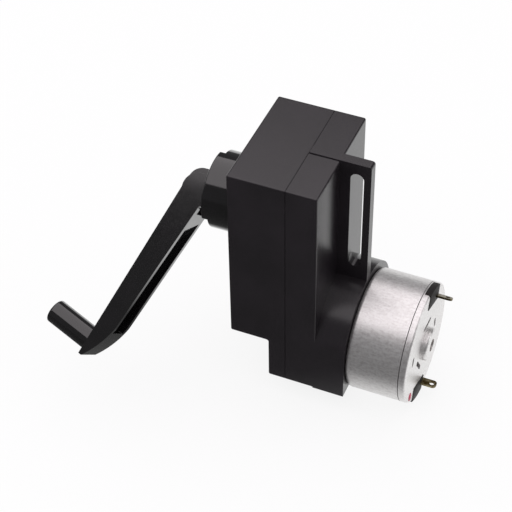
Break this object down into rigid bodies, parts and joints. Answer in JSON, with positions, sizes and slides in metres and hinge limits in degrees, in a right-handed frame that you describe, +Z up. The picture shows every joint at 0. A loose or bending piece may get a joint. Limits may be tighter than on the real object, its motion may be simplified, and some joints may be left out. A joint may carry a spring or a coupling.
{
  "type": "hand crank generator",
  "caption": "Hand-cranked DC generator: a folding crank with a turning knob drives a flat can motor through spur gears in a slim plastic case with a slotted lug.",
  "frame": {"origin": "on the crank's axis, in the plane of the case's crank-side face", "axes": "+X from the crank side to the motor side, along the crank's axis; +Y to the back; +Z up, towards the lug's end of the case"},
  "size_m": [0.0733, 0.0422, 0.0539],
  "materials": {
    "black_abs": "satin",
    "gloss_black": "gloss",
    "acetal": "satin",
    "bronze": "satin",
    "steel": "machined",
    "plated_steel": "zinc plated",
    "ferrite": "matte",
    "copper": "enamelled",
    "brass": "tinned in part",
    "phenolic": "matte",
    "carbon": "matte"
  },
  "bodies": {
    "housing": {"main_case": "black_abs", "motor_cover": "black_abs", "case_screws": "steel", "front_bush": "bronze", "rear_bush": "bronze", "first_axle": "steel", "second_axle": "steel", "motor_can": "plated_steel", "field_magnet": "ferrite", "front_bearing": "bronze", "rear_bearing": "bronze", "end_cap": "plated_steel", "brush_holder": "phenolic", "brushes": "carbon", "terminals": "brass", "motor_screws": "steel"},
    "crank": {"crank_shaft": "steel", "crank_hub": "gloss_black", "hinge_pin": "steel", "drive_gear": "acetal", "retaining_ring": "steel"},
    "arm": {"crank_arm": "gloss_black", "knob_pin": "steel"},
    "knob": {"crank_knob": "gloss_black"},
    "first_reduction": {"first_gear": "acetal"},
    "second_reduction": {"second_gear": "acetal"},
    "rotor": {"motor_pinion": "brass", "motor_shaft": "steel", "armature_core": "steel", "armature_windings": "copper", "commutator": "copper"}
  },
  "joints": [
    {"name": "crank_spin", "type": "hinge", "parent": "housing", "child": "crank", "pos_m": [0, 0, 0], "axis": [1, 0, 0], "continuous": true},
    {"name": "arm_fold", "type": "hinge", "parent": "crank", "child": "arm", "pos_m": [-0.01, -0.00106, -0.00106], "axis": [0, 0.7071, -0.7071], "range_deg": [-20, 160]},
    {"name": "knob_spin", "type": "hinge", "parent": "arm", "child": "knob", "pos_m": [-0.02245, -0.02525, -0.02525], "axis": [-0.9397, 0.2418, 0.2418], "continuous": true},
    {"name": "first_gear_spin", "type": "hinge", "parent": "housing", "child": "first_reduction", "pos_m": [0, -0.0025, -0.01327], "axis": [1, 0, 0], "continuous": true},
    {"name": "second_gear_spin", "type": "hinge", "parent": "housing", "child": "second_reduction", "pos_m": [0, 0.00436, -0.01939], "axis": [1, 0, 0], "continuous": true},
    {"name": "rotor_spin", "type": "hinge", "parent": "housing", "child": "rotor", "pos_m": [0, 0, -0.0261], "axis": [1, 0, 0], "continuous": true}
  ],
  "couplings": [
    {"joint": "first_gear_spin", "follows": "crank_spin", "ratio": -3.5},
    {"joint": "second_gear_spin", "follows": "crank_spin", "ratio": 12.6},
    {"joint": "rotor_spin", "follows": "crank_spin", "ratio": -37.8}
  ]
}
